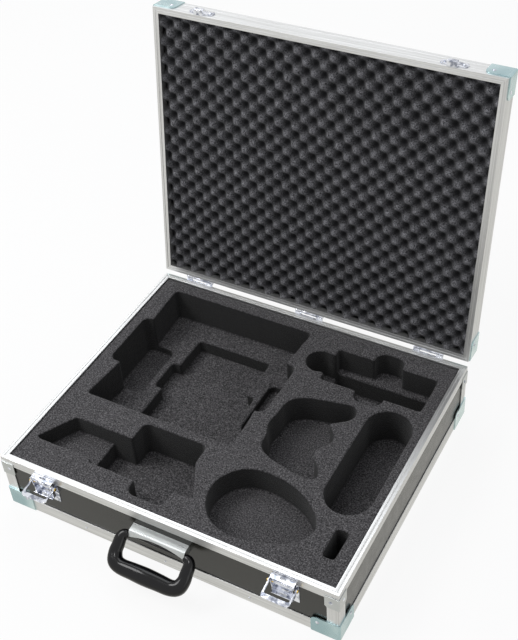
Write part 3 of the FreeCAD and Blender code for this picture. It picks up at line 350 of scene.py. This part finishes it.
def soft_block(name, node, voxel):
    """A foam block over a solid of the same outline, with softened edges and a wavy surface."""
    made = bpy.data.objects.new(name, nodes[node].data.copy())
    bpy.context.scene.collection.objects.link(made)
    made.matrix_world = nodes[node].matrix_world.copy()
    remesh = made.modifiers.new("remesh", "REMESH")
    remesh.mode = "VOXEL"
    remesh.voxel_size = voxel
    smooth = made.modifiers.new("smooth", "SMOOTH")
    smooth.factor = 0.5
    smooth.iterations = 2
    graph = bpy.context.evaluated_depsgraph_get()
    mesh = bpy.data.meshes.new_from_object(made.evaluated_get(graph))
    made.modifiers.clear()
    made.data = mesh
    count = len(mesh.vertices)
    places, normals = np.empty(3 * count), np.empty(3 * count)
    mesh.vertices.foreach_get("co", places)
    mesh.vertex_normals.foreach_get("vector", normals)
    places, normals = places.reshape(-1, 3), normals.reshape(-1, 3)
    places = places + normals * sway(places, FOAM_SWAY)[:, None]
    low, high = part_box(node)
    places = np.clip(places, np.array(low), np.array(high))
    mesh.vertices.foreach_set("co", places.ravel())
    mesh.update()
    mesh.polygons.foreach_set("use_smooth", [True] * len(mesh.polygons))
    give(made, materials["base_foam"])
    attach(made, "base")
    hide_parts(node)


def crate_foam():
    """The lid's convoluted foam: blunt peaks and round pits, staggered from row to row."""
    width = CASE_WIDTH - 2 * RIM_WIDTH - CRATE_FIT
    deep = CASE_DEPTH - 2 * RIM_WIDTH - CRATE_FIT
    across, up = CRATE_COLUMNS * CRATE_STEPS, CRATE_ROWS * CRATE_STEPS
    verts, faces = [], []
    for j in range(up + 1):
        for i in range(across + 1):
            column, row = i / CRATE_STEPS, j / CRATE_STEPS
            x, y = (i / across - 0.5) * width, (j / up - 0.5) * deep
            wave = math.cos(math.pi * column) * math.cos(math.pi * row)
            depth = CRATE_PEAK + (CRATE_VALLEY - CRATE_PEAK) * (0.5 + 0.5 * wave)
            depth += noise.noise(Vector((x * CRATE_WAVES, y * CRATE_WAVES, 0))) * CRATE_SWAY
            verts.append(LID_FRAME @ Vector((x, y, max(depth, CRATE_PEAK))))
    count = across + 1
    for j in range(up):
        for i in range(across):
            a = j * count + i
            faces.append((a, a + count, a + count + 1, a + 1))
    start = len(verts)
    ring = list(range(across + 1))
    ring += [j * count + across for j in range(1, up + 1)]
    ring += [up * count + i for i in range(across - 1, -1, -1)]
    ring += [j * count for j in range(up - 1, 0, -1)]
    for index in ring:
        i, j = index % count, index // count
        verts.append(LID_FRAME @ Vector(((i / across - 0.5) * width, (j / up - 0.5) * deep, CRATE_BACK)))
    total = len(ring)
    for k in range(total):
        after = (k + 1) % total
        faces.append((ring[k], ring[after], start + after, start + k))
    faces.append(tuple(start + k for k in range(total - 1, -1, -1)))
    made = new_piece("convoluted_foam", verts, faces, materials["lid_foam"], "lid")
    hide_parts("lid_foam")


soft_block("foam_block", "foam_insert", 2.6 * MM)
soft_block("floor_sheet", "foam_floor_pad", 2.4 * MM)
crate_foam()


HANDLE_AXIS = Vector((0, FRONT - 13 * MM, 69 * MM))
HANDLE_ANGLE = math.radians(37.6)
HANDLE_HALF = 61.5 * MM
HANDLE_REACH = 49.8 * MM
HANDLE_BAR = 2.6 * MM
SHOULDER, BEND = 11 * MM, 17 * MM
ROOT, ARM, GRIP = (13 * MM, 12 * MM), (20 * MM, 17 * MM), (28.4 * MM, 28 * MM)
RING_SHARES = [(1, 0), (0.5, 0), (0.1, 0), (0, 0.05), (0, 0.2), (0, 0.55), (0, 0.62), (0, 0.82), (0, 1)]
RING_SIDES, RING_STEPS = 28, 5
RING_BLUNTNESS = 0.86


def turn_points(centre, radius, start):
    """Three places along a quarter turn clockwise from a heading, in the handle's plane."""
    found = []
    for share in (0, 0.5, 1):
        angle = start - share * math.pi / 2
        found.append((centre[0] - math.sin(angle) * radius, centre[1] + math.cos(angle) * radius))
    return found


def handle_stations():
    """The middle line of the handle with its width and thickness, from one end of the bar to the other."""
    line = turn_points((SHOULDER - HANDLE_HALF, SHOULDER), SHOULDER, math.pi)
    line += [(-HANDLE_HALF, (SHOULDER + HANDLE_REACH - BEND) / 2)]
    line += turn_points((BEND - HANDLE_HALF, HANDLE_REACH - BEND), BEND, math.pi / 2)
    line += [((BEND - HANDLE_HALF) / 2, HANDLE_REACH), (0, HANDLE_REACH)]
    sizes = []
    for root, grip in RING_SHARES:
        sizes.append([ARM[k] + (ROOT[k] - ARM[k]) * root + (GRIP[k] - ARM[k]) * grip for k in (0, 1)])
    left = [(*at, *size) for at, size in zip(line, sizes)]
    return left + [(-u, v, wide, thick) for u, v, wide, thick in reversed(left[:-1])]


def through(rows, steps):
    """A smooth run through rows of numbers, with steps between each two."""
    rows = np.array(rows)
    padded = np.vstack([2 * rows[0] - rows[1], rows, 2 * rows[-1] - rows[-2]])
    out = []
    for k in range(1, len(padded) - 2):
        before, at, after, beyond = padded[k - 1:k + 3]
        for step in range(steps):
            t = step / steps
            bend = (2 * before - 5 * at + 4 * after - beyond) * t * t
            twist = (3 * at - before - 3 * after + beyond) * t ** 3
            out.append(0.5 * (2 * at + (after - before) * t + bend + twist))
    return np.array(out + [rows[-1]])


def tube(rings, sides):
    """The faces of a closed tube through rings of equal count."""
    faces = []
    for j in range(rings - 1):
        for i in range(sides):
            after = (i + 1) % sides
            faces.append((j * sides + i, j * sides + after, (j + 1) * sides + after, (j + 1) * sides + i))
    faces.append(tuple(range(sides - 1, -1, -1)))
    faces.append(tuple((rings - 1) * sides + i for i in range(sides)))
    return faces


def carrying_handle():
    """The moulded ring: narrow roots on a bar, flattened arms and a full grip."""
    out_way = Vector((0, -math.cos(HANDLE_ANGLE), -math.sin(HANDLE_ANGLE)))
    up_way = Vector((0, -math.sin(HANDLE_ANGLE), math.cos(HANDLE_ANGLE)))
    across = Vector((1, 0, 0))
    run = through(handle_stations(), RING_STEPS)
    headings = np.gradient(run[:, :2], axis=0)
    verts = []
    for (u, v, wide, thick), (du, dv) in zip(run, headings):
        side = (across * -dv + out_way * du) / math.hypot(du, dv)
        for k in range(RING_SIDES):
            angle = 2 * math.pi * k / RING_SIDES
            c, s = math.cos(angle), math.sin(angle)
            c, s = (math.copysign(abs(part) ** RING_BLUNTNESS, part) for part in (c, s))
            centre = HANDLE_AXIS + across * u + out_way * v
            verts.append(centre + side * (c * wide / 2) + up_way * (s * thick / 2))
    faces = tube(len(run), RING_SIDES)
    start = len(verts)
    for at in (-HANDLE_HALF + SHOULDER / 2, HANDLE_HALF - SHOULDER / 2):
        for k in range(RING_SIDES):
            angle = 2 * math.pi * k / RING_SIDES
            spoke = out_way * math.cos(angle) + up_way * math.sin(angle)
            verts.append(HANDLE_AXIS + across * at + spoke * HANDLE_BAR)
    faces += [tuple(start + i for i in face) for face in tube(2, RING_SIDES)]
    made = new_piece("carrying_handle", verts, faces, materials["handle"], "handle")
    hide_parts("handle")


BRACKET_HALF = 50 * MM
BRACKET_SHEET = 1.5 * MM
BRACKET_STEPS = 28
BRACKET_BEDDING = 1.8 * MM
BRACKET_EDGE_OUT, BRACKET_TOE_OUT = 12.2 * MM, 17.6 * MM
BRACKET_BEND, BRACKET_CROWN = 2.2 * MM, 0.35 * MM
BEND_SHARES = [0, 0.25, 0.5, 0.75, 1]
BRACKET_ROOF, BRACKET_EDGE, BRACKET_LOW, BRACKET_ARCH = 80 * MM, 78 * MM, 68 * MM, 6.4 * MM


def handle_cover():
    """The pressed cover over the handle's bar: roof, sloping skirt with an arched edge, and two cheeks."""
    wall = FRONT + BRACKET_BEDDING
    edge, toe = FRONT - BRACKET_EDGE_OUT, FRONT - BRACKET_TOE_OUT
    slope = (toe - edge) / (BRACKET_EDGE - BRACKET_LOW)
    verts = []
    for i in range(BRACKET_STEPS + 1):
        share = 2 * i / BRACKET_STEPS - 1
        x = share * BRACKET_HALF
        low = BRACKET_LOW + BRACKET_ARCH * (1 - share * share)
        profile = [(wall, BRACKET_ROOF)]
        for t in BEND_SHARES:
            roof = (edge + BRACKET_BEND * (1 - t), BRACKET_EDGE + BRACKET_CROWN * (1 - t))
            skirt = (edge + slope * BRACKET_BEND * t, BRACKET_EDGE - BRACKET_BEND * t)
            profile.append((roof[0] * (1 - t) + skirt[0] * t, roof[1] * (1 - t) + skirt[1] * t))
        profile.append((edge + slope * (BRACKET_EDGE - low), low))
        inner = [(y + BRACKET_SHEET, z - BRACKET_SHEET * 0.8) for y, z in profile[1:-1]]
        inner = [(wall, BRACKET_ROOF - BRACKET_SHEET)] + inner + [(profile[-1][0] + BRACKET_SHEET, low)]
        verts += [(x, y, z) for y, z in profile + inner[::-1]]
    faces = tube(BRACKET_STEPS + 1, 2 * (len(BEND_SHARES) + 2))
    for at in (-BRACKET_HALF, BRACKET_HALF - BRACKET_SHEET):
        start = len(verts)
        outline = [(wall, BRACKET_ROOF - 0.4 * MM), (edge + 0.6 * MM, BRACKET_EDGE - 0.4 * MM),
                   (toe + 0.8 * MM, BRACKET_LOW + 0.4 * MM), (toe + 3 * MM, BRACKET_LOW - 2.6 * MM),
                   (FRONT - 8 * MM, BRACKET_LOW - 4 * MM), (wall, BRACKET_LOW - 3 * MM)]
        for x in (at, at + BRACKET_SHEET):
            verts += [(x, y, z) for y, z in outline]
        faces += [tuple(start + i for i in face) for face in tube(2, len(outline))]
    made = new_piece("handle_cover", verts, faces, materials["bracket"], "base")
    made.data.polygons.foreach_set("use_smooth", [False] * len(made.data.polygons))
    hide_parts("handle_bracket")


RIVET_RING = 12
RIVET_SHARES = ((1, -0.1), (1, 0.25), (0.7, 0.5), (0.3, 0.62))


def dome_rivets(name, places, outward, radius, body):
    """Small domed rivet heads on a face that looks outward."""
    outward = Vector(outward).normalized()
    first = outward.orthogonal().normalized()
    second = outward.cross(first)
    verts, faces = [], []
    for place in places:
        start = len(verts)
        for share, rise in RIVET_SHARES:
            for k in range(RIVET_RING):
                angle = 2 * math.pi * k / RIVET_RING
                spread = (first * math.cos(angle) + second * math.sin(angle)) * radius * share
                verts.append(Vector(place) + spread + outward * radius * rise)
        faces += [tuple(start + i for i in face) for face in tube(len(RIVET_SHARES), RIVET_RING)]
    new_piece(name, verts, faces, materials["chrome"], body)


carrying_handle()
handle_cover()
RIVET_SPACING, RIVET_HEIGHT, RIVET_RADIUS = 150 * MM, 12.5 * MM, 1.8 * MM
RIVET_SEAT = FRONT - 0.05 * MM
dome_rivets("front_angle_rivets", [(side * RIVET_SPACING, RIVET_SEAT, RIVET_HEIGHT) for side in (-1, 0, 1)],
            (0, -1, 0), RIVET_RADIUS, "base")


def seen_straight(tree):
    """1 for rays from the camera, or by way of gloss or glass, and 0 for soft light."""
    path = tree.nodes.new("ShaderNodeLightPath")
    total = path.outputs["Is Camera Ray"]
    for kind in ("Is Glossy Ray", "Is Transmission Ray"):
        either = tree.nodes.new("ShaderNodeMath")
        either.operation = "MAXIMUM"
        tree.links.new(total, either.inputs[0])
        tree.links.new(path.outputs[kind], either.inputs[1])
        total = either.outputs[0]
    return total


def level_sheet(name, half, height, colour, glow):
    """A large level sheet: seen straight on, it is mostly white, and still keeps shadows."""
    mesh = bpy.data.meshes.new(name)
    corners = [(x * half, y * half, height) for x, y in ((-1, -1), (1, -1), (1, 1), (-1, 1))]
    mesh.from_pydata(corners, [], [(0, 1, 2, 3)])
    made = bpy.data.objects.new(name, mesh)
    bpy.context.scene.collection.objects.link(made)
    shade = Shader(name, Roughness=0.9, Specular_IOR_Level=0.1)
    shade.paint(shade.mix(shade.noise(3, 2), colour, tuple(0.98 * c for c in colour)))
    white = shade.node("ShaderNodeEmission")
    glossy = shade.node("ShaderNodeLightPath").outputs["Is Glossy Ray"]
    shade.wire(shade.mix(glossy, (1.0, 1.0, 1.0), (0.94, 0.925, 0.87)), white.inputs["Color"])
    share = shade.node("ShaderNodeMath", operation="MULTIPLY")
    share.inputs[1].default_value = glow
    shade.wire(seen_straight(shade.tree), share.inputs[0])
    both = shade.node("ShaderNodeMixShader")
    shade.wire(share.outputs[0], both.inputs[0])
    shade.wire(shade.surface.outputs[0], both.inputs[1])
    shade.wire(white.outputs[0], both.inputs[2])
    shade.wire(both.outputs[0], shade.tree.nodes["Material Output"].inputs["Surface"])
    give(made, shade.material)


FLOOR_HALF, FLOOR_LEVEL = 12, -0.5 * MM
FLOOR_COLOUR, FLOOR_GLOW = (0.93, 0.93, 0.93), 0.9
level_sheet("floor", FLOOR_HALF, FLOOR_LEVEL, FLOOR_COLOUR, FLOOR_GLOW)


def area_light(name, place, aim, size, power, colour):
    """A square soft light turned towards a point."""
    data = bpy.data.lights.new(name, "AREA")
    data.size = size
    data.energy = power
    data.color = colour
    made = bpy.data.objects.new(name, data)
    made.location = place
    made.rotation_euler = (Vector(aim) - Vector(place)).to_track_quat("-Z", "Y").to_euler()
    bpy.context.scene.collection.objects.link(made)


WHITE = (1, 1, 1)
CASE_HEART = (0, 0, 0.1)
LATCHES = (0, -0.25, 0.1)
LAMPS = [
    ("key", (-1.9, -0.9, 2.6), CASE_HEART, 1.2, 40, WHITE),
    ("fill", (2.6, -1.2, 1.6), CASE_HEART, 1.6, 8, WHITE),
    ("top", (-1.0, 1.5, 3.0), CASE_HEART, 1.9, 27, (0.94, 0.97, 1)),
    ("spark", (-0.4, -1.2, 2.6), LATCHES, 0.35, 6, WHITE),
]
for lamp in LAMPS:
    area_light(*lamp)

world = bpy.data.worlds.new("studio")
bpy.context.scene.world = world
world.use_nodes = True
background = world.node_tree.nodes["Background"]
background.inputs["Strength"].default_value = 1.0
blend = world.node_tree.nodes.new("ShaderNodeMix")
blend.data_type = "RGBA"
blend.inputs[COLOUR_A].default_value = (0.36, 0.365, 0.38, 1)
blend.inputs[COLOUR_B].default_value = (1, 1, 1, 1)
world.node_tree.links.new(seen_straight(world.node_tree), blend.inputs["Factor"])
world.node_tree.links.new(blend.outputs[COLOUR_OUT], background.inputs["Color"])

CAMERA_PLACE = Vector((693.4 * MM, MIDDLE - 1067.8 * MM, 1444.5 * MM))
CAMERA_AIM = Vector((-0.38530, 0.63872, -0.66602))
CAMERA_ROLL = -4.187
CAMERA_LENS, CAMERA_SENSOR = 62.685, 36
lens = bpy.data.cameras.new("camera")
lens.lens = CAMERA_LENS
lens.sensor_width = CAMERA_SENSOR
lens.clip_end = 50
camera = bpy.data.objects.new("camera", lens)
bpy.context.scene.collection.objects.link(camera)
camera.location = CAMERA_PLACE
turn = CAMERA_AIM.to_track_quat("-Z", "Y").to_matrix().to_4x4()
camera.rotation_euler = (turn @ Matrix.Rotation(math.radians(CAMERA_ROLL), 4, "Z")).to_euler()
bpy.context.scene.camera = camera
bpy.context.scene.view_settings.view_transform = "Standard"
